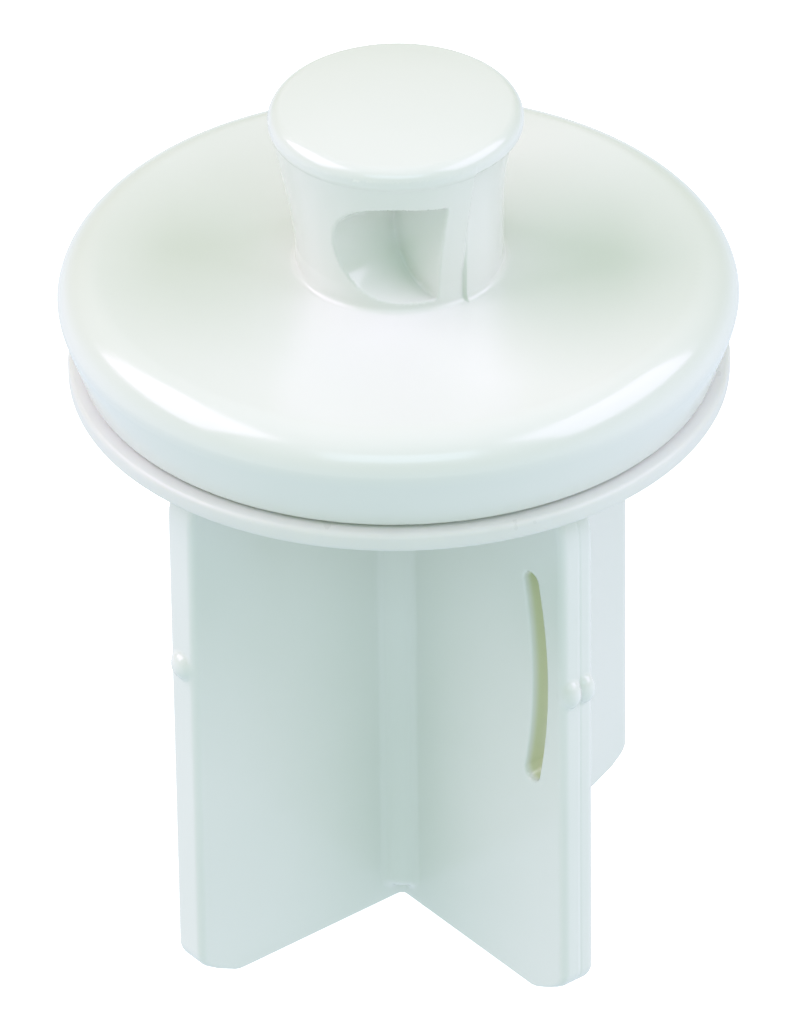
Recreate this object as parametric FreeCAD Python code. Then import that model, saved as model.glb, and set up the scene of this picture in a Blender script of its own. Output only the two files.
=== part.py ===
"""Push-in basin drain stopper: a lift knob on a round cap, a loose seal washer, and four guide fins.

Millimetres, +Z up. The origin is on the stopper's axis, level with the bottom edges of the fins.
+X runs along the right-hand slotted fin and -Y along the front plain fin. The moulding splits
along the XZ plane, so both slotted fins lie in that plane and both thumb pockets open away from it.
"""

import FreeCAD, Part
import math
import os

# ---------------------------------------------------------------- driving dimensions
FIN_REACH = 15.75            # axis to a fin's outer edge; the four fins guide in a 32 mm drain
FIN_THICKNESS = 2.28
FIN_HEIGHT = 35.05           # fin bottoms to the shelf that the washer rests on
FIN_TOP_RADIUS = 3.8        # round at a fin's top outer corner
LEAD_IN_ANGLE = 27.0        # degrees; the fins' bottom corners are cut back to enter the drain
LEAD_IN_RUN = 2.75          # how far in from the outer edge the cut-back reaches
LEAD_IN_RUN_BACK = 4.7      # the back fin is cut back further
LEAD_IN_ROUND = 0.35        # how far in the round between cut-back and outer edge begins
LEAD_IN_ROUND_RISE = 1.0

POST_RADIUS = 2.7
POST_END = 1.0              # the post stops this far above the fin bottoms
POST_END_ROUND = 0.7

SLOT_MIDDLE = 21.45         # height of the slot's middle, and of the spring strip's nubs
SLOT_HALF_LENGTH = 7.1
SLOT_END_ROUND = 0.65       # length of each rounded slot end
SLOT_WIDTH = 1.25
SLOT_BOW = 0.73             # how far the slot bows outward at its middle
SLOT_INNER = 12.35           # axis to the slot's inner edge at its ends
STRIP_GAP = 0.05            # running gap at each end of a spring strip

NUB_STAND_PROUD = 0.5
NUB_RADIUS = 0.97           # ball radius of a plain fin's nub
NUB_HEIGHT = 21.75          # height of a plain fin's nub
TWIN_NUB_RADIUS = 0.7       # ball radius of each of a spring strip's two nubs
TWIN_NUB_OFFSET = 0.45      # from the parting plane to each of the two

NECK_RADIUS = 7.5
NECK_HEIGHT = 1.3
WASHER_RADIUS = 18.5
WASHER_THICKNESS = 1.1
WASHER_BORE_GAP = 0.1
WASHER_SHELF_GAP = 0.05
SEAL_LAND_RADIUS = 16.4     # the washer seals outside this radius, clear of the fins and nubs

CAP_RADIUS = 19.0
CAP_LIP_RADIUS = 17.75      # the cap's lower edge; its side leans in from the widest circle to here
CAP_WIDEST = 39.95          # height of the widest circle
CAP_RIM_ROUND = 2.35
CAP_CROWN = 0.1             # rise of the top from the rim to the stem

STEM_RADIUS = 5.8
STEM_FOOT_ROUND = 0.35
STEM_STRAIGHT = 1.3         # height of the stem's straight foot
STEM_TOP_RADIUS = 6.8
STEM_HEIGHT = 8.75

HEAD_RADIUS = 7.05
HEAD_EDGE_ROUND = 0.7
HEAD_UNDER_RADIUS = 6.95
HEAD_SIDE = 0.27            # height of the head's slightly flared under-edge
HEAD_THICKNESS = 1.2        # at the rim
HEAD_DOME = 0.45

POCKET_RADIUS = 3.32        # thumb pocket, a round pocket with a flat floor
POCKET_OFFSET = 4.97         # axis to the pocket's centre line
POCKET_HEIGHT = 46.27
POCKET_FLOOR = 1.5          # half the web between the two pockets

# ---------------------------------------------------------------- worked-out dimensions
HALF_FIN = FIN_THICKNESS / 2
FIN_ROOT = math.sqrt(POST_RADIUS ** 2 - HALF_FIN ** 2)
CAP_UNDERSIDE = FIN_HEIGHT + NECK_HEIGHT
CAP_TOP = CAP_WIDEST + CAP_RIM_ROUND
STEM_FOOT = CAP_TOP + CAP_CROWN
STEM_TOP = STEM_FOOT + STEM_HEIGHT
HEAD_RIM_TOP = STEM_TOP + HEAD_THICKNESS
STRIP_HALF_LENGTH = SLOT_HALF_LENGTH - SLOT_END_ROUND
SLOT_OUTER = SLOT_INNER + SLOT_WIDTH

UP = FreeCAD.Vector(0, 0, 1)
ORIGIN = FreeCAD.Vector(0, 0, 0)


# ---------------------------------------------------------------- drawing in the XZ plane
def point(x, z, y=0.0):
    return FreeCAD.Vector(x, y, z)


def line(start, end):
    return Part.LineSegment(point(*start), point(*end)).toShape()


def arc(start, middle, end):
    return Part.Arc(point(*start), point(*middle), point(*end)).toShape()


def quarter(centre, start, end):
    """A quarter circle from start to end about centre; start and end are (x, z)."""
    middle_x = (start[0] + end[0]) / 2 - centre[0]
    middle_z = (start[1] + end[1]) / 2 - centre[1]
    radius = math.dist(centre, start)
    scale = radius / math.hypot(middle_x, middle_z)
    middle = (centre[0] + middle_x * scale, centre[1] + middle_z * scale)
    return arc(start, middle, end)


def face_of(edges):
    return Part.Face(Part.Wire(edges))


def turned(edges):
    """A solid of revolution about the stopper's axis."""
    return face_of(edges).revolve(ORIGIN, UP, 360)


def slab(edges, thickness):
    """A flat outline in the XZ plane, thickened equally to both sides of that plane."""
    outline = face_of(edges)
    outline.translate(FreeCAD.Vector(0, -thickness / 2, 0))
    return outline.extrude(FreeCAD.Vector(0, thickness, 0))


def turned_about_axis(shape, degrees):
    copy = shape.copy()
    copy.rotate(ORIGIN, UP, degrees)
    return copy


# ---------------------------------------------------------------- the knob
def knob_head():
    rim_centre = (HEAD_RADIUS - HEAD_EDGE_ROUND, HEAD_RIM_TOP - HEAD_EDGE_ROUND)
    rim_side = (HEAD_RADIUS, rim_centre[1])
    rim_top = (rim_centre[0], HEAD_RIM_TOP)
    under_edge = (HEAD_UNDER_RADIUS, STEM_TOP)
    side_foot = (HEAD_RADIUS, STEM_TOP + HEAD_SIDE)
    dome_top = (0, HEAD_RIM_TOP + HEAD_DOME)
    dome_radius = (rim_top[0] ** 2 + HEAD_DOME ** 2) / (2 * HEAD_DOME)
    shoulder_x = rim_top[0] / 2
    shoulder_drop = dome_radius - math.sqrt(dome_radius ** 2 - shoulder_x ** 2)
    dome_shoulder = (shoulder_x, dome_top[1] - shoulder_drop)
    return turned([
        line((0, STEM_TOP), under_edge),
        line(under_edge, side_foot),
        line(side_foot, rim_side),
        quarter(rim_centre, rim_side, rim_top),
        arc(rim_top, dome_shoulder, dome_top),
        line(dome_top, (0, STEM_TOP)),
    ])


def thumb_pocket():
    """The tool that cuts the front pocket: a round bar along Y, from the pocket's floor outward."""
    start = FreeCAD.Vector(POCKET_OFFSET, -POCKET_FLOOR, POCKET_HEIGHT)
    return Part.makeCylinder(POCKET_RADIUS, STEM_TOP_RADIUS, start, FreeCAD.Vector(0, -1, 0))


def knob_stem():
    foot_ring = (STEM_RADIUS + STEM_FOOT_ROUND, STEM_FOOT)
    foot_top = (STEM_RADIUS, STEM_FOOT + STEM_FOOT_ROUND)
    foot_middle = (
        foot_ring[0] - STEM_FOOT_ROUND * math.sin(math.pi / 4),
        foot_top[1] - STEM_FOOT_ROUND * math.cos(math.pi / 4),
    )
    flare_start = (STEM_RADIUS, STEM_FOOT + STEM_STRAIGHT)
    flare_end = (STEM_TOP_RADIUS, STEM_TOP)
    flare_middle = (
        STEM_RADIUS + (STEM_TOP_RADIUS - STEM_RADIUS) / 4,
        (flare_start[1] + flare_end[1]) / 2,
    )
    stem = turned([
        line((0, STEM_FOOT), foot_ring),
        arc(foot_ring, foot_middle, foot_top),
        line(foot_top, flare_start),
        arc(flare_start, flare_middle, flare_end),
        line(flare_end, (0, STEM_TOP)),
        line((0, STEM_TOP), (0, STEM_FOOT)),
    ])
    front = thumb_pocket()
    return stem.cut([front, turned_about_axis(front, 180)])


# ---------------------------------------------------------------- the cap and its seal
def cap():
    widest = (CAP_RADIUS, CAP_WIDEST)
    rim_centre = (CAP_RADIUS - CAP_RIM_ROUND, CAP_WIDEST)
    rim_top = (rim_centre[0], CAP_TOP)
    lip = (CAP_LIP_RADIUS, CAP_UNDERSIDE)
    top_ring = (STEM_RADIUS + STEM_FOOT_ROUND, STEM_FOOT)
    return turned([
        line((0, CAP_UNDERSIDE), lip),
        line(lip, widest),
        quarter(rim_centre, widest, rim_top),
        line(rim_top, top_ring),
        line(top_ring, (0, STEM_FOOT)),
        line((0, STEM_FOOT), (0, CAP_UNDERSIDE)),
    ])


def washer_neck():
    return Part.makeCylinder(NECK_RADIUS, NECK_HEIGHT, FreeCAD.Vector(0, 0, FIN_HEIGHT), UP)


def washer_ring(inner, outer):
    base = FreeCAD.Vector(0, 0, FIN_HEIGHT + WASHER_SHELF_GAP)
    disc = Part.makeCylinder(outer, WASHER_THICKNESS, base, UP)
    return disc.cut(Part.makeCylinder(inner, WASHER_THICKNESS, base, UP))


def seal_washer():
    """One flat washer; its underside keeps the circle inside which nothing seals."""
    inner = washer_ring(NECK_RADIUS + WASHER_BORE_GAP, SEAL_LAND_RADIUS)
    return inner.fuse(washer_ring(SEAL_LAND_RADIUS, WASHER_RADIUS))


# ---------------------------------------------------------------- the post and fins
def centre_post():
    """A round post with four flats, where the fins join it."""
    end = POST_END
    ring = (POST_RADIUS - POST_END_ROUND, end)
    side = (POST_RADIUS, end + POST_END_ROUND)
    post = turned([
        line((0, end), ring),
        quarter((ring[0], side[1]), ring, side),
        line(side, (POST_RADIUS, FIN_HEIGHT)),
        line((POST_RADIUS, FIN_HEIGHT), (0, FIN_HEIGHT)),
        line((0, FIN_HEIGHT), (0, end)),
    ])
    corner = FreeCAD.Vector(-FIN_ROOT, -FIN_ROOT, 0)
    return post.common(Part.makeBox(2 * FIN_ROOT, 2 * FIN_ROOT, FIN_HEIGHT, corner))


def fin(lead_in_run):
    """A plain fin along +X, from the post's flat to its outer edge."""
    rise = (lead_in_run - LEAD_IN_ROUND) * math.tan(math.radians(LEAD_IN_ANGLE))
    cut_start = (FIN_REACH - lead_in_run, 0)
    cut_end = (FIN_REACH - LEAD_IN_ROUND, rise)
    edge_foot = (FIN_REACH, rise + LEAD_IN_ROUND_RISE)
    round_middle = (FIN_REACH - LEAD_IN_ROUND / 3, rise + LEAD_IN_ROUND_RISE * 0.45)
    top_centre = (FIN_REACH - FIN_TOP_RADIUS, FIN_HEIGHT - FIN_TOP_RADIUS)
    edge_top = (FIN_REACH, top_centre[1])
    top_end = (top_centre[0], FIN_HEIGHT)
    return slab([
        line((FIN_ROOT, 0), cut_start),
        line(cut_start, cut_end),
        arc(cut_end, round_middle, edge_foot),
        line(edge_foot, edge_top),
        quarter(top_centre, edge_top, top_end),
        line(top_end, (FIN_ROOT, FIN_HEIGHT)),
        line((FIN_ROOT, FIN_HEIGHT), (FIN_ROOT, 0)),
    ], FIN_THICKNESS)


def slot_edge(x, half_length):
    """One long edge of the slot, bowed outward, as its (top, middle, bottom) points."""
    bow = SLOT_BOW * (half_length / STRIP_HALF_LENGTH) ** 2
    return (
        (x, SLOT_MIDDLE + half_length),
        (x + bow, SLOT_MIDDLE),
        (x, SLOT_MIDDLE - half_length),
    )


def slot_with_strip_room():
    """What a slotted fin loses: its slot, and all that is outside the slot's straight length."""
    inner = slot_edge(SLOT_INNER, STRIP_HALF_LENGTH)
    outer = slot_edge(SLOT_OUTER, STRIP_HALF_LENGTH)
    beyond = FIN_REACH + 1
    top = SLOT_MIDDLE + SLOT_HALF_LENGTH
    bottom = SLOT_MIDDLE - SLOT_HALF_LENGTH
    middle_x = (SLOT_INNER + SLOT_OUTER) / 2
    return slab([
        arc(*inner),
        arc(inner[2], (middle_x, bottom), outer[2]),
        line(outer[2], (beyond, outer[2][1])),
        line((beyond, outer[2][1]), (beyond, outer[0][1])),
        line((beyond, outer[0][1]), outer[0]),
        arc(outer[0], (middle_x, top), inner[0]),
    ], FIN_THICKNESS + 1)


def plain_fin(lead_in_run):
    nub_centre = FreeCAD.Vector(FIN_REACH + NUB_STAND_PROUD - NUB_RADIUS, 0, NUB_HEIGHT)
    return fin(lead_in_run).fuse(Part.makeSphere(NUB_RADIUS, nub_centre))


def slotted_fin():
    return fin(LEAD_IN_RUN).cut(slot_with_strip_room())


def spring_strip():
    """The strip outside the slot, with the two nubs that its bow pushes against the drain."""
    half = STRIP_HALF_LENGTH - STRIP_GAP
    top, middle, bottom = slot_edge(SLOT_OUTER, half)
    strip = slab([
        arc(top, middle, bottom),
        line(bottom, (FIN_REACH, bottom[1])),
        line((FIN_REACH, bottom[1]), (FIN_REACH, top[1])),
        line((FIN_REACH, top[1]), top),
    ], FIN_THICKNESS)
    nub_x = FIN_REACH + NUB_STAND_PROUD - TWIN_NUB_RADIUS
    for side in (-1, 1):
        centre = FreeCAD.Vector(nub_x, side * TWIN_NUB_OFFSET, SLOT_MIDDLE)
        strip = strip.fuse(Part.makeSphere(TWIN_NUB_RADIUS, centre))
    return strip


# ---------------------------------------------------------------- write every node
NODES = {
    "knob_head": knob_head(),
    "knob_stem": knob_stem(),
    "cap": cap(),
    "washer_neck": washer_neck(),
    "seal_washer": seal_washer(),
    "centre_post": centre_post(),
    "fin_front": turned_about_axis(plain_fin(LEAD_IN_RUN), -90),
    "fin_back": turned_about_axis(plain_fin(LEAD_IN_RUN_BACK), 90),
    "slotted_fin_right": slotted_fin(),
    "slotted_fin_left": turned_about_axis(slotted_fin(), 180),
    "spring_strip_right": spring_strip(),
    "spring_strip_left": turned_about_axis(spring_strip(), 180),
}

os.makedirs("parts", exist_ok=True)
for name, shape in NODES.items():
    shape.exportStep("parts/" + name + ".step")
    box = shape.BoundBox
    print("%-20s valid %s  solids %d  volume %8.1f mm3  x %.2f..%.2f  y %.2f..%.2f  z %.2f..%.2f" % (
        name, shape.isValid(), len(shape.Solids), shape.Volume,
        box.XMin, box.XMax, box.YMin, box.YMax, box.ZMin, box.ZMax))
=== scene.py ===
"""The looks of a push-in basin drain stopper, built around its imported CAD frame.

The stopper is one glossy white moulding with a loose vinyl washer. Its skin is made here from a
distance field: simple solids joined and cut with rounded edges, as a moulder's tool would leave
them, then turned into a mesh of quads whose corners lie exactly on the field's surface. The field
is written in millimetres; meshes are scaled to metres when they are made.
"""

import math

import bmesh
import bpy
import numpy as np
from mathutils import Matrix, Vector


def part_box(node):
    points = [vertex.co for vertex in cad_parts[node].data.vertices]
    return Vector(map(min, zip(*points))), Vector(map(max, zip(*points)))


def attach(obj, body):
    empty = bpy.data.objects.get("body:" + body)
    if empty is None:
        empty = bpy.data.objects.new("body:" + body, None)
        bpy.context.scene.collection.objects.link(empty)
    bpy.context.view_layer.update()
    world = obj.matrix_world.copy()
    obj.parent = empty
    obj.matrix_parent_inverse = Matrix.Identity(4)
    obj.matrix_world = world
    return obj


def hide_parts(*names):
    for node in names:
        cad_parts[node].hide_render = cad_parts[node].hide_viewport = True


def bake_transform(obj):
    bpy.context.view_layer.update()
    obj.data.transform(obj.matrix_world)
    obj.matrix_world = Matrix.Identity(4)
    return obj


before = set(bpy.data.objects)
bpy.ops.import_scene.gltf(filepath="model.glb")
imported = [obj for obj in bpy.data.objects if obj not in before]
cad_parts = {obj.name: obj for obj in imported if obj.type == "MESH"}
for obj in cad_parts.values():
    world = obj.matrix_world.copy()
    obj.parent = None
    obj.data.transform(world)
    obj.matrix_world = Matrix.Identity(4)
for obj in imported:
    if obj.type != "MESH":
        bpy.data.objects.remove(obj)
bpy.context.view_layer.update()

MM = 0.001


def node_box(node):
    """A CAD node's lowest and highest corners, in millimetres."""
    low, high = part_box(node)
    return low / MM, high / MM


# ---------------------------------------------------------------- sizes, from the frame
cap_low, cap_high = node_box("cap")
stem_low, stem_high = node_box("knob_stem")
head_high = node_box("knob_head")[1]
washer_low, washer_high = node_box("seal_washer")
neck_high = node_box("washer_neck")[1]
post_low = node_box("centre_post")[0]
fin_high = node_box("slotted_fin_right")[1]
strip_low, strip_high = node_box("spring_strip_right")

CAP_RADIUS = cap_high.x
CAP_UNDERSIDE = cap_low.z
CAP_CENTRE_TOP = cap_high.z
STEM_FOOT = stem_low.z
STEM_TOP = stem_high.z
HEAD_RADIUS = head_high.x
HEAD_TOP = head_high.z
WASHER_RADIUS = washer_high.x
WASHER_BOTTOM = washer_low.z
WASHER_TOP = washer_high.z
NECK_RADIUS = neck_high.x
FIN_REACH = fin_high.x
FIN_TOP = fin_high.z
HALF_FIN = fin_high.y
NUB_REACH = strip_high.x
POST_END = post_low.z
SLOT_MIDDLE = (strip_low.z + strip_high.z) / 2
STRIP_HALF_LENGTH = (strip_high.z - strip_low.z) / 2

# ---------------------------------------------------------------- sizes that a box doesn't give
CAP_CROWN = 0.1
CAP_RIM_ROUND = 2.35
CAP_WIDEST = CAP_CENTRE_TOP - CAP_CROWN - CAP_RIM_ROUND
CAP_LIP_RADIUS = 17.75
CAP_EDGE_ROUND = 0.15
LIP_ROUND = 0.2
NECK_ROUND = 0.1
HIDDEN_OVERLAP = 0.5        # how far the fins run on inside the neck
HEAD_OVERLAP = 0.4          # how far the stem runs on inside the head

STEM_STRAIGHT = 1.3         # height of the stem's straight foot
STEM_FRONT_RADIUS, STEM_FRONT_FLARE, STEM_FRONT_CURVE = 5.68, 1.3, 1.3
STEM_BACK_RADIUS, STEM_BACK_FLARE, STEM_BACK_CURVE = 5.9, 0.78, 3.2
STEM_FOOT_ROUND = 0.35
PARTING_PLANE = 0.1         # y of the line where the two halves of the mould met
PARTING_WIDTH = 0.09
PARTING_GROOVE = 0.05
FIN_PARTING_GROOVE = 0.035

HEAD_DOME = 0.45
HEAD_EDGE_ROUND = 0.7
HEAD_UNDER_ROUND = 0.2

POCKET_RADIUS = 3.32
POCKET_OFFSET = 4.97
POCKET_HEIGHT = 46.27
POCKET_FLOOR = 1.5
POCKET_CORNER_ROUND = 0.12
POCKET_RIM_ROUND = 0.1

POST_RADIUS = 2.7
POST_END_ROUND = 0.7
FIN_EDGE_ROUND = 0.2
FIN_OUTER_EDGE_ROUND = 0.48
OUTER_EDGE_START, OUTER_EDGE_END = 1.4, 0.5     # how far in from the outer edge it grows
FIN_ROOT_ROUND = 0.3
FIN_TOP_ROUND = 3.8
FIN_FOOT_ROUND = 0.75
LEAD_IN_ANGLE = math.radians(27.0)
LEAD_IN_RUN = 2.75
LEAD_IN_RUN_BACK = 4.7

SLOT_WIDTH = 1.25
SLOT_BOW = 0.73
SLOT_END_X = 12.975
SLOT_RIM_ROUND = 0.16
SLOT_WALL_NEAR, SLOT_WALL_FAR = 0.1, 0.35       # from the slot's wall: its painted shade is full, is gone
SLOT_SHADE_DEEP, SLOT_SHADE_START = 0.6, 0.15     # below the fin's face: its painted shade is full, is gone

NUB_RADIUS = 0.97
NUB_HEIGHT = 21.75
TWIN_NUB_RADIUS = 0.62
TWIN_NUB_STRETCH = 1.45
TWIN_NUB_OFFSET = 0.5
NUB_FOOT_ROUND = 0.15

WASHER_BORE_GAP = 0.1
WASHER_EDGE_ROUND = 0.3
WASHER_WAVE = 0.02
WASHER_WAVE_COUNT, WASHER_WAVE_START = 3, 0.6


# ---------------------------------------------------------------- rounded joins and cuts
def meet(a, b, radius):
    """The solid inside both a and b, its edge rounded."""
    near = np.hypot(np.maximum(a + radius, 0), np.maximum(b + radius, 0))
    return np.minimum(np.maximum(a, b), -radius) + near


def join(a, b, radius):
    """The solid inside a or b, filleted where they cross."""
    return -meet(-a, -b, radius)


def cut(a, b, radius):
    """Solid a without b, the cut's rim rounded."""
    return meet(a, -b, radius)


def smooth(start, end, x):
    """Goes from 0 at x = start to 1 at x = end, level at both."""
    t = np.clip((x - start) / (end - start), 0, 1)
    return t * t * (3 - 2 * t)


# ---------------------------------------------------------------- the knob and cap
def cap_field(r, z):
    """The round cap: a crowned top, a rounded rim, and a side that leans in to a small lip."""
    flat = CAP_RADIUS - CAP_RIM_ROUND
    top = CAP_CENTRE_TOP - CAP_CROWN * np.minimum(r / flat, 1.2) ** 2
    lean = math.atan2(CAP_RADIUS - CAP_LIP_RADIUS, CAP_WIDEST - CAP_UNDERSIDE)
    under = (r - CAP_RADIUS) * math.cos(lean) + (CAP_WIDEST - z) * math.sin(lean)
    side = meet(r - CAP_RADIUS, under, CAP_EDGE_ROUND)
    body = meet(side, z - top, CAP_RIM_ROUND)
    return meet(body, CAP_UNDERSIDE - z, LIP_ROUND)


def stem_field(r, y, z):
    """The stem, whose two moulded halves flare differently and meet in a small step."""
    rise = np.clip((z - STEM_FOOT - STEM_STRAIGHT) / (STEM_TOP - STEM_FOOT - STEM_STRAIGHT), 0, 1)
    front = STEM_FRONT_RADIUS + STEM_FRONT_FLARE * rise ** STEM_FRONT_CURVE
    back = STEM_BACK_RADIUS + STEM_BACK_FLARE * rise ** STEM_BACK_CURVE
    from_parting = (y - PARTING_PLANE) / PARTING_WIDTH
    side = front + (back - front) * smooth(-1, 1, from_parting)
    side = side - PARTING_GROOVE * np.exp(-from_parting ** 2)
    inside_cap = (STEM_FOOT + CAP_UNDERSIDE) / 2
    return np.maximum(r - side, np.maximum(z - STEM_TOP - HEAD_OVERLAP, inside_cap - z))


def head_field(r, z):
    """The knob's domed head."""
    rim = HEAD_RADIUS - HEAD_EDGE_ROUND
    top = HEAD_TOP - HEAD_DOME * np.minimum(r / rim, 1.2) ** 2
    body = meet(r - HEAD_RADIUS, z - top, HEAD_EDGE_ROUND)
    return meet(body, STEM_TOP - z, HEAD_UNDER_ROUND)


def pocket_field(x, y, z):
    """A round pocket with a flat floor, open towards -Y."""
    bar = np.hypot(x - POCKET_OFFSET, z - POCKET_HEIGHT) - POCKET_RADIUS
    return meet(bar, y + POCKET_FLOOR, POCKET_CORNER_ROUND)


def knob_and_cap_field(x, y, z):
    r = np.hypot(x, y)
    body = join(cap_field(r, z), stem_field(r, y, z), STEM_FOOT_ROUND)
    body = join(body, head_field(r, z), HEAD_UNDER_ROUND)
    body = cut(body, pocket_field(x, y, z), POCKET_RIM_ROUND)
    return cut(body, pocket_field(-x, -y, z), POCKET_RIM_ROUND)


# ---------------------------------------------------------------- the post and fins
def fin_field(out, across, z, lead_in_run):
    """A pair of opposite fins: out is the distance from the axis along them."""
    past_run = out - FIN_REACH + lead_in_run
    lead_in = past_run * math.sin(LEAD_IN_ANGLE) - z * math.cos(LEAD_IN_ANGLE)
    outline = meet(out - FIN_REACH, z - FIN_TOP, FIN_TOP_ROUND)
    outline = meet(outline, lead_in, FIN_FOOT_ROUND)
    outline = meet(outline, -z, FIN_EDGE_ROUND)
    outward = smooth(FIN_REACH - OUTER_EDGE_START, FIN_REACH - OUTER_EDGE_END, out)
    edge_round = FIN_EDGE_ROUND + (FIN_OUTER_EDGE_ROUND - FIN_EDGE_ROUND) * outward
    return meet(outline, np.abs(across) - HALF_FIN, edge_round)


def slot_field(out, z):
    """The bowed slot, as seen from the side of its fin."""
    along = z - SLOT_MIDDLE
    held = np.clip(along, -STRIP_HALF_LENGTH, STRIP_HALF_LENGTH)
    centre = SLOT_END_X + SLOT_BOW * (1 - (held / STRIP_HALF_LENGTH) ** 2)
    return np.hypot(out - centre, along - held) - SLOT_WIDTH / 2


def ball(dx, dy, dz, radius, stretch=1.0):
    """A ball, or one stretched upward."""
    return np.sqrt(dx * dx + dy * dy + (dz / stretch) ** 2) - radius


def post_and_fins_field(x, y, z):
    """The post, the four fins with their slots and nubs, and the neck above them."""
    parting = FIN_PARTING_GROOVE * np.exp(-((y - PARTING_PLANE) / PARTING_WIDTH) ** 2)
    along_x = fin_field(np.abs(x) + parting, y, z, LEAD_IN_RUN)
    along_y = fin_field(np.abs(y), x, z, np.where(y < 0, LEAD_IN_RUN, LEAD_IN_RUN_BACK))
    r = np.hypot(x, y)
    post = meet(r - POST_RADIUS, POST_END - z, POST_END_ROUND)
    along_x = cut(along_x, slot_field(np.abs(x), z), SLOT_RIM_ROUND)
    body = join(join(along_x, along_y, FIN_ROOT_ROUND), post, FIN_ROOT_ROUND)
    plain_nub = ball(np.abs(y) - NUB_REACH + NUB_RADIUS, x, z - NUB_HEIGHT, NUB_RADIUS)
    twin_nub = ball(
        np.abs(x) - NUB_REACH + TWIN_NUB_RADIUS, np.abs(y) - TWIN_NUB_OFFSET, z - SLOT_MIDDLE,
        TWIN_NUB_RADIUS, TWIN_NUB_STRETCH)
    body = join(body, np.minimum(plain_nub, twin_nub), NUB_FOOT_ROUND)
    neck = meet(r - NECK_RADIUS, FIN_TOP - z, NECK_ROUND)
    body = join(np.maximum(body, z - FIN_TOP - HIDDEN_OVERLAP), neck, NECK_ROUND)
    return np.maximum(body, np.maximum(z - CAP_UNDERSIDE, -z))


# ---------------------------------------------------------------- from field to mesh
def grid_lines(stretches):
    """Grid positions from (start, end, spacing) stretches, each starting where the last ended."""
    coarser = 1.0
    lines = []
    for start, end, spacing in stretches:
        count = max(1, round((end - start) / (spacing * coarser)))
        lines.append(np.linspace(start, end, count, endpoint=False))
    lines.append(np.array([stretches[-1][1]]))
    return np.concatenate(lines)


def mirrored(stretches):
    """The same stretches on both sides of zero; the first one starts at zero."""
    other_side = [(-end, -start, spacing) for start, end, spacing in reversed(stretches)]
    return other_side + list(stretches)


def gradient(field, points):
    step = 0.004
    slopes = []
    for axis in range(3):
        shift = np.zeros(3)
        shift[axis] = step
        ahead = field(*(points + shift).T)
        behind = field(*(points - shift).T)
        slopes.append((ahead - behind) / (2 * step))
    return np.stack(slopes, axis=1)


def settle(field, points, reach):
    """Moves points onto the field's surface."""
    for _ in range(5):
        slope = gradient(field, points)
        steepness = np.maximum((slope * slope).sum(axis=1), 0.05)
        move = slope * (field(*points.T) / steepness)[:, None]
        length = np.linalg.norm(move, axis=1)
        points = points - move * np.minimum(1, reach / np.maximum(length, 1e-9))[:, None]
    return points


def surface_net(field, xs, ys, zs):
    """Quads over the field's surface: one corner in each grid cell that the surface crosses."""
    values = field(*np.meshgrid(xs, ys, zs, indexing="ij"))
    inside = values < 0
    shape = tuple(n - 1 for n in inside.shape)
    filled = np.zeros(shape, np.int8)
    corners = [(i, j, k) for i in (0, 1) for j in (0, 1) for k in (0, 1)]
    for i, j, k in corners:
        filled += inside[i:i + shape[0], j:j + shape[1], k:k + shape[2]]
    cells = np.argwhere((filled > 0) & (filled < 8))
    number = np.full(shape, -1)
    number[tuple(cells.T)] = np.arange(len(cells))

    lines = (xs, ys, zs)
    total = np.zeros((len(cells), 3))
    crossings = np.zeros(len(cells))
    for corner in corners:
        for axis in range(3):
            if corner[axis]:
                continue
            start = cells + np.array(corner)
            end = start.copy()
            end[:, axis] += 1
            a, b = values[tuple(start.T)], values[tuple(end.T)]
            crossed = (a < 0) != (b < 0)
            share = np.where(crossed, a / np.where(a == b, 1, a - b), 0)
            place = np.stack([lines[n][start[:, n]] for n in range(3)], axis=1)
            place[:, axis] += share * (lines[axis][end[:, axis]] - lines[axis][start[:, axis]])
            total += place * crossed[:, None]
            crossings += crossed
    points = total / crossings[:, None]

    quads = []
    for axis in range(3):
        low = [slice(1, -1)] * 3
        low[axis] = slice(0, -1)
        high = list(low)
        high[axis] = slice(1, None)
        start_in, end_in = inside[tuple(low)], inside[tuple(high)]
        first = np.array([s.start for s in low])
        b, c = [n for n in range(3) if n != axis]
        for leaving in (True, False):
            edges = np.argwhere((start_in == leaving) & (end_in != leaving)) + first
            around = []
            for db, dc in ((-1, -1), (0, -1), (0, 0), (-1, 0)):
                cell = edges.copy()
                cell[:, b] += db
                cell[:, c] += dc
                around.append(number[tuple(cell.T)])
            quad = np.stack(around, axis=1)
            if leaving != (axis != 1):
                quad = quad[:, ::-1]
            quads.append(quad)
    return points, np.concatenate(quads)


def set_field_normals(mesh, field):
    """Shades a mesh with the field's exact normals, and marks its slot walls with painted shade
    for the material.
    """
    co = np.zeros(len(mesh.vertices) * 3)
    mesh.vertices.foreach_get("co", co)
    slope = gradient(field, co.reshape(-1, 3) / MM)
    slope /= np.maximum(np.linalg.norm(slope, axis=1), 1e-9)[:, None]
    mesh.shade_smooth()
    mesh.normals_split_custom_set_from_vertices(slope.tolist())
    x, y, z = (co.reshape(-1, 3) / MM).T
    # Painted shade: a mask that is full on the slot walls, which the material darkens and yellows
    # as the shade of light bouncing in the slot.
    near_wall = smooth(SLOT_WALL_FAR, SLOT_WALL_NEAR, slot_field(np.abs(x), z))
    slot_shade_mask = near_wall * smooth(HALF_FIN - SLOT_SHADE_START, HALF_FIN - SLOT_SHADE_DEEP, np.abs(y))
    slot_painted_shade = mesh.attributes.new("slot_painted_shade", "FLOAT", "POINT")
    slot_painted_shade.data.foreach_set("value", slot_shade_mask.astype(np.float32))


def field_mesh(name, field, xs, ys, zs):
    points, quads = surface_net(field, xs, ys, zs)
    points = settle(field, points, 0.5 * np.diff(xs).min())
    mesh = bpy.data.meshes.new(name)
    mesh.from_pydata((points * MM).tolist(), [], quads.tolist())
    mesh.update()
    return mesh


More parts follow.
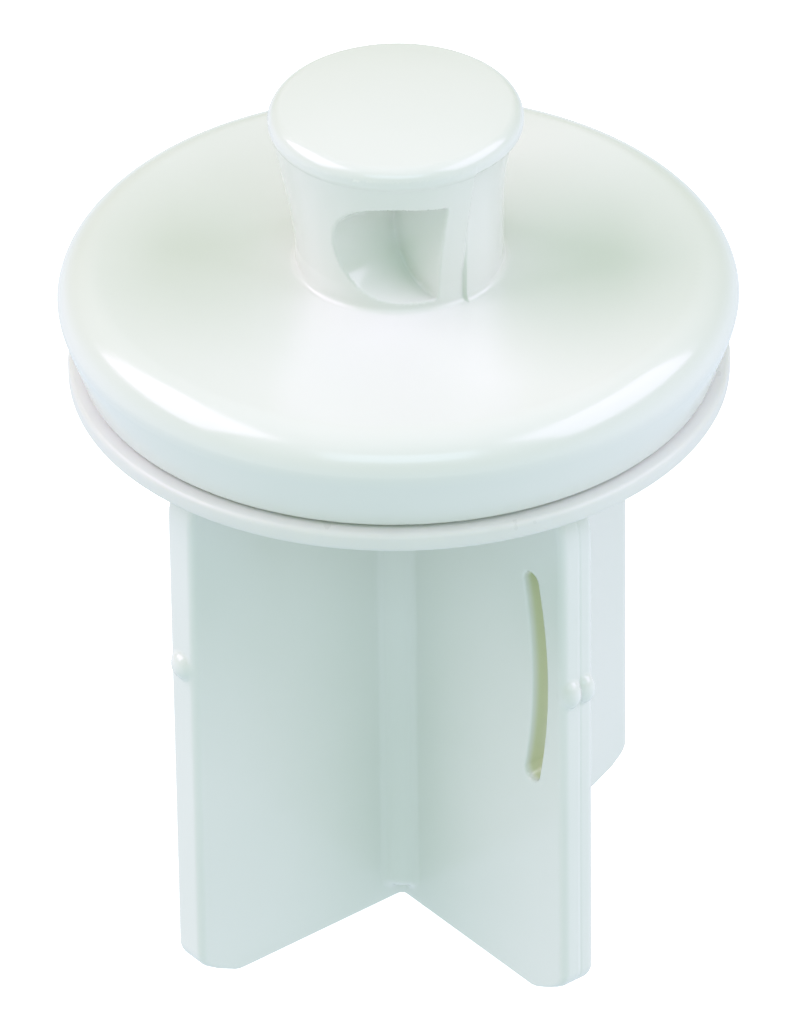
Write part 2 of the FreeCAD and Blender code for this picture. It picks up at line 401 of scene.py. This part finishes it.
def add_object(name, mesh):
    piece = bpy.data.objects.new(name, mesh)
    bpy.context.scene.collection.objects.link(piece)
    return piece


# ---------------------------------------------------------------- the pieces
def knob_and_cap():
    outer = [(7.6, 15.6, 0.36), (15.6, 19.3, 0.2)]
    across = grid_lines(mirrored([(0, 7.6, 0.17)] + outer))
    depth = grid_lines(mirrored([(0, 0.4, 0.05), (0.4, 7.6, 0.17)] + outer))
    up = grid_lines([
        (CAP_UNDERSIDE - 0.3, CAP_UNDERSIDE + 0.5, 0.1), (CAP_UNDERSIDE + 0.5, 39.4, 0.3),
        (39.4, 40.4, 0.12), (40.4, 42.2, 0.2), (42.2, 43.1, 0.12), (43.1, 50.6, 0.17),
        (50.6, HEAD_TOP + 0.3, 0.11),
    ])
    mesh = field_mesh("knob_and_cap", knob_and_cap_field, across, depth, up)
    set_field_normals(mesh, knob_and_cap_field)
    return add_object("knob_and_cap", mesh)


def post_and_fins_mesh():
    outer = [(3.2, 6.4, 0.36), (6.4, 8, 0.28), (8, 12, 0.45), (12, 14.6, 0.16), (14.6, 16.5, 0.12)]
    across = grid_lines(mirrored([(0, 3.2, 0.15)] + outer))
    depth = grid_lines(mirrored([(0, 0.4, 0.06), (0.4, 3.2, 0.14)] + outer))
    up = grid_lines([
        (-0.4, 4, 0.2), (4, 13.9, 0.45), (13.9, 15.5, 0.15), (15.5, 20.3, 0.4),
        (20.3, 22.9, 0.12), (22.9, 27.4, 0.4), (27.4, 29, 0.15), (29, 31, 0.45),
        (31, CAP_UNDERSIDE + 0.3, 0.18),
    ])
    return field_mesh("post_and_fins", post_and_fins_field, across, depth, up)


def copy_part(mesh, name, keep):
    """The part of a mesh whose faces' middles satisfy keep(middle), closed where it was cut."""
    form = bmesh.new()
    form.from_mesh(mesh)
    for height in (-STRIP_HALF_LENGTH, 0, STRIP_HALF_LENGTH):
        plane = Vector((0, 0, SLOT_MIDDLE + height)) * MM
        geometry = form.verts[:] + form.edges[:] + form.faces[:]
        bmesh.ops.bisect_plane(form, geom=geometry, plane_co=plane, plane_no=(0, 0, 1), dist=1e-9)
    away = [f for f in form.faces if not keep(f.calc_center_median() / MM)]
    bmesh.ops.delete(form, geom=away, context="FACES")
    rims = [e for e in form.edges if e.is_boundary]
    bmesh.ops.holes_fill(form, edges=rims, sides=0)
    part = bpy.data.meshes.new(name)
    form.to_mesh(part)
    form.free()
    set_field_normals(part, post_and_fins_field)
    return add_object(name, part)


def in_strip(middle):
    """Whether a point of the fins is outside the slot, over the slot's straight length."""
    along = middle.z - SLOT_MIDDLE
    centre = SLOT_END_X + SLOT_BOW * (1 - (along / STRIP_HALF_LENGTH) ** 2)
    return abs(along) < STRIP_HALF_LENGTH and abs(middle.x) > centre and abs(middle.y) < 2


def seal_washer():
    """A soft flat ring, its edges rounded, very slightly wavy as thin vinyl is."""
    bore = NECK_RADIUS + WASHER_BORE_GAP
    half = (WASHER_TOP - WASHER_BOTTOM) / 2
    edge = WASHER_EDGE_ROUND
    section = []
    for centre_r, centre_z, start in (
            (WASHER_RADIUS - edge, half - edge, 0), (bore + edge, half - edge, 90),
            (bore + edge, edge - half, 180), (WASHER_RADIUS - edge, edge - half, 270)):
        for n in range(6):
            angle = math.radians(start + n * 18)
            section.append((centre_r + edge * math.cos(angle), centre_z + edge * math.sin(angle)))
    spokes = 240
    middle = (WASHER_TOP + WASHER_BOTTOM) / 2
    verts, faces = [], []
    for s in range(spokes):
        turn = 2 * math.pi * s / spokes
        for r, z in section:
            share = (r - bore) / (WASHER_RADIUS - bore)
            swing = math.sin(WASHER_WAVE_COUNT * turn + WASHER_WAVE_START)
            wave = -WASHER_WAVE * share * (1 + swing)
            verts.append(Vector((r * math.cos(turn), r * math.sin(turn), middle + z + wave)) * MM)
        for n in range(len(section)):
            a = s * len(section) + n
            b = s * len(section) + (n + 1) % len(section)
            shift = len(section)
            count = spokes * shift
            faces.append((a, (a + shift) % count, (b + shift) % count, b))
    mesh = bpy.data.meshes.new("seal_ring")
    mesh.from_pydata(verts, [], faces)
    mesh.update()
    mesh.shade_smooth()
    return add_object("seal_ring", mesh)


# ---------------------------------------------------------------- materials
class Nodes:
    """A small helper for building a material's node tree."""

    def __init__(self, name):
        self.material = bpy.data.materials.new(name)
        self.material.use_nodes = True
        self.tree = self.material.node_tree
        self.shader = self.tree.nodes["Principled BSDF"]
        self.place = self.add("ShaderNodeTexCoord").outputs["Object"]

    def add(self, kind, **settings):
        node = self.tree.nodes.new(kind)
        for key, value in settings.items():
            setattr(node, key, value)
        return node

    def link(self, source, target):
        self.tree.links.new(source, target)

    def noise(self, scale, detail=3.0, roughness=0.5):
        node = self.add("ShaderNodeTexNoise")
        node.inputs["Scale"].default_value = scale
        node.inputs["Detail"].default_value = detail
        node.inputs["Roughness"].default_value = roughness
        self.link(self.place, node.inputs["Vector"])
        return node.outputs["Fac"]

    def ramp(self, source, stops):
        node = self.add("ShaderNodeValToRGB")
        elements = node.color_ramp.elements
        while len(elements) < len(stops):
            elements.new(0.5)
        for element, (position, colour) in zip(elements, stops):
            element.position = position
            element.color = (*colour, 1)
        self.link(source, node.inputs["Fac"])
        return node.outputs["Color"]

    def remap(self, source, low, high, new_low, new_high):
        node = self.add("ShaderNodeMapRange")
        ends = {"From Min": low, "From Max": high, "To Min": new_low, "To Max": new_high}
        for key, value in ends.items():
            node.inputs[key].default_value = value
        self.link(source, node.inputs["Value"])
        return node.outputs["Result"]

    def bump(self, height, distance, strength, below=None):
        node = self.add("ShaderNodeBump")
        node.inputs["Distance"].default_value = distance
        node.inputs["Strength"].default_value = strength
        self.link(height, node.inputs["Height"])
        if below is not None:
            self.link(below, node.inputs["Normal"])
        return node.outputs["Normal"]


def white_plastic():
    """Glossy white moulded plastic: faint tone changes, soft sink ripples, fine handling haze.

    Inside the slots it is painted darker and yellower: painted shade for the light that bounces
    there.
    """
    m = Nodes("white_plastic")
    tone = m.ramp(m.noise(60, 2), [(0.35, (0.80, 0.825, 0.80)), (0.65, (0.83, 0.845, 0.825))])
    # Painted shade in the slots, read from the mesh's slot attribute and multiplied into the base
    # colour.
    depth = m.add("ShaderNodeAttribute", attribute_name="slot_painted_shade").outputs["Fac"]
    painted_slot_shade = m.ramp(depth, [(0.0, (1, 1, 1)), (1.0, (0.84, 0.87, 0.62))])
    mixed = m.add("ShaderNodeMix", data_type="RGBA", blend_type="MULTIPLY")
    mixed.inputs["Factor"].default_value = 1.0
    m.link(tone, mixed.inputs["A"])
    m.link(painted_slot_shade, mixed.inputs["B"])
    m.link(mixed.outputs["Result"], m.shader.inputs["Base Color"])
    haze = m.remap(m.noise(420, 5, 0.65), 0.35, 0.75, 0.12, 0.24)
    m.link(haze, m.shader.inputs["Roughness"])
    ripples = m.bump(m.noise(90, 1), 0.00008, 0.35)
    grain = m.bump(m.noise(2600, 2), 0.000006, 0.25, ripples)
    m.link(grain, m.shader.inputs["Normal"])
    m.shader.inputs["IOR"].default_value = 1.54
    return m.material


def seal_vinyl():
    """Soft cream vinyl, slightly see-into, with a faint satin mottle."""
    m = Nodes("seal_vinyl")
    tone = m.ramp(m.noise(140, 3), [(0.3, (0.76, 0.77, 0.755)), (0.7, (0.80, 0.81, 0.79))])
    m.link(tone, m.shader.inputs["Base Color"])
    m.link(m.remap(m.noise(500, 4), 0.3, 0.7, 0.26, 0.4), m.shader.inputs["Roughness"])
    m.link(m.bump(m.noise(700, 3), 0.00002, 0.3), m.shader.inputs["Normal"])
    m.shader.inputs["Subsurface Weight"].default_value = 0.15
    m.shader.inputs["Subsurface Radius"].default_value = (1.0, 0.9, 0.7)
    m.shader.inputs["Subsurface Scale"].default_value = 0.002
    return m.material


def floor_material():
    """Matt white that glows a little, so the backdrop stays white in any light."""
    m = Nodes("pale_floor")
    tone = m.ramp(m.noise(6, 2), [(0.3, (0.75, 0.75, 0.75)), (0.7, (0.77, 0.77, 0.77))])
    m.link(tone, m.shader.inputs["Base Color"])
    m.shader.inputs["Roughness"].default_value = 0.9
    m.shader.inputs["Specular IOR Level"].default_value = 0.0
    m.shader.inputs["Emission Color"].default_value = (1, 1, 1, 1)
    m.shader.inputs["Emission Strength"].default_value = 0.9
    return m.material


# ---------------------------------------------------------------- build
plastic = white_plastic()

knob = knob_and_cap()
knob.data.materials.append(plastic)
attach(knob, "stopper")
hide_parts("knob_head", "knob_stem", "cap")

fins_mesh = post_and_fins_mesh()
fins = copy_part(fins_mesh, "post_and_fins", lambda p: not in_strip(p))
fins.data.materials.append(plastic)
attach(fins, "stopper")
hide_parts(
    "washer_neck", "centre_post", "fin_front", "fin_back", "slotted_fin_right",
    "slotted_fin_left")

for side, sign in (("right", 1), ("left", -1)):
    for half, way in (("upper", 1), ("lower", -1)):
        name = "strip_" + side + "_" + half
        strip = copy_part(
            fins_mesh, name,
            lambda p: in_strip(p) and p.x * sign > 0 and (p.z - SLOT_MIDDLE) * way > 0)
        strip.data.materials.append(plastic)
        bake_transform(strip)
        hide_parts("spring_strip_" + side)

ring = seal_washer()
ring.data.materials.append(seal_vinyl())
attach(ring, "washer")
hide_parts("seal_washer")

# ---------------------------------------------------------------- camera
CAMERA_AZIMUTH = math.radians(51.8)
CAMERA_ELEVATION = math.radians(33.97)
CAMERA_ROLL = math.radians(-0.77)
CAMERA_DISTANCE = 0.6147
# The aim is a hair off the axis, which sets the stopper in the frame.
CAMERA_AIM = Vector((-0.000042, -0.000053, 0.0251))
LENS = 490.5


def add_camera():
    data = bpy.data.cameras.new("camera")
    data.sensor_fit = "HORIZONTAL"
    data.sensor_width = 36
    data.lens = LENS
    data.clip_start = 0.05
    data.clip_end = 20
    camera = add_object("camera", data)
    level = math.cos(CAMERA_ELEVATION)
    back = Vector((
        math.sin(CAMERA_AZIMUTH) * level, -math.cos(CAMERA_AZIMUTH) * level,
        math.sin(CAMERA_ELEVATION)))
    right = Vector((math.cos(CAMERA_AZIMUTH), math.sin(CAMERA_AZIMUTH), 0))
    up = back.cross(right)
    tilted_right = right * math.cos(CAMERA_ROLL) + up * math.sin(CAMERA_ROLL)
    tilted_up = back.cross(tilted_right)
    turn = Matrix((tilted_right, tilted_up, back)).transposed()
    camera.matrix_world = Matrix.Translation(CAMERA_AIM + back * CAMERA_DISTANCE) @ turn.to_4x4()
    bpy.context.scene.camera = camera


# ---------------------------------------------------------------- light and floor
def softbox(name, azimuth, elevation, distance, size, power, tint):
    """An area light seen from the stopper at these angles from the camera's own direction."""
    turn = CAMERA_AZIMUTH + math.radians(azimuth)
    rise = math.radians(elevation)
    away = Vector((
        math.sin(turn) * math.cos(rise), -math.cos(turn) * math.cos(rise), math.sin(rise)))
    data = bpy.data.lights.new(name, "AREA")
    data.shape = "RECTANGLE"
    data.size, data.size_y = size
    data.energy = power
    data.color = tint
    light = add_object(name, data)
    middle = Vector((0, 0, 0.03))
    light.location = middle + away * distance
    light.rotation_euler = away.to_track_quat("Z", "Y").to_euler()


def add_floor():
    form = bmesh.new()
    bmesh.ops.create_grid(form, x_segments=8, y_segments=8, size=3)
    mesh = bpy.data.meshes.new("floor")
    form.to_mesh(mesh)
    form.free()
    mesh.materials.append(floor_material())
    floor = add_object("floor", mesh)
    floor.visible_diffuse = False
    floor.visible_glossy = False
    floor.visible_shadow = False


# Light from straight down (0) to straight up (1). The pale light from below stands in for what a
# white floor would throw up, because the floor itself is kept out of the object's light.
WORLD_COLOURS = [
    (0.40, (0.80, 0.90, 1.0)), (0.6, (0.20, 0.33, 0.04)), (1.0, (0.34, 0.51, 0.30)),
]


def add_world():
    """Soft light from all round, tinted by height."""
    world = bpy.data.worlds.new("studio")
    world.use_nodes = True
    tree = world.node_tree
    background = tree.nodes["Background"]
    place = tree.nodes.new("ShaderNodeTexCoord")
    height = tree.nodes.new("ShaderNodeSeparateXYZ")
    ramp = tree.nodes.new("ShaderNodeValToRGB")
    elements = ramp.color_ramp.elements
    elements.new(0.5)
    for element, (position, colour) in zip(elements, WORLD_COLOURS):
        element.position = position
        element.color = (*colour, 1)
    remap = tree.nodes.new("ShaderNodeMapRange")
    remap.inputs["From Min"].default_value = -1
    tree.links.new(place.outputs["Generated"], height.inputs["Vector"])
    tree.links.new(height.outputs["Z"], remap.inputs["Value"])
    tree.links.new(remap.outputs["Result"], ramp.inputs["Fac"])
    tree.links.new(ramp.outputs["Color"], background.inputs["Color"])
    background.inputs["Strength"].default_value = 1.0
    bpy.context.scene.world = world


add_camera()
add_floor()
add_world()
# name, azimuth and elevation in degrees, distance and size in metres, watts, tint
softbox("right_softbox", 84, 40, 1.0, (1.05, 0.62), 7.25, (0.862, 0.70, 1.0))
softbox("left_softbox", -92, 42, 1.0, (0.9, 0.68), 7.9, (0.955, 0.743, 1.0))
softbox("front_softbox", 0, 36, 1.2, (0.95, 0.42), 3.0, (0.62, 0.74, 1.0))
bpy.context.scene.view_settings.view_transform = "Standard"
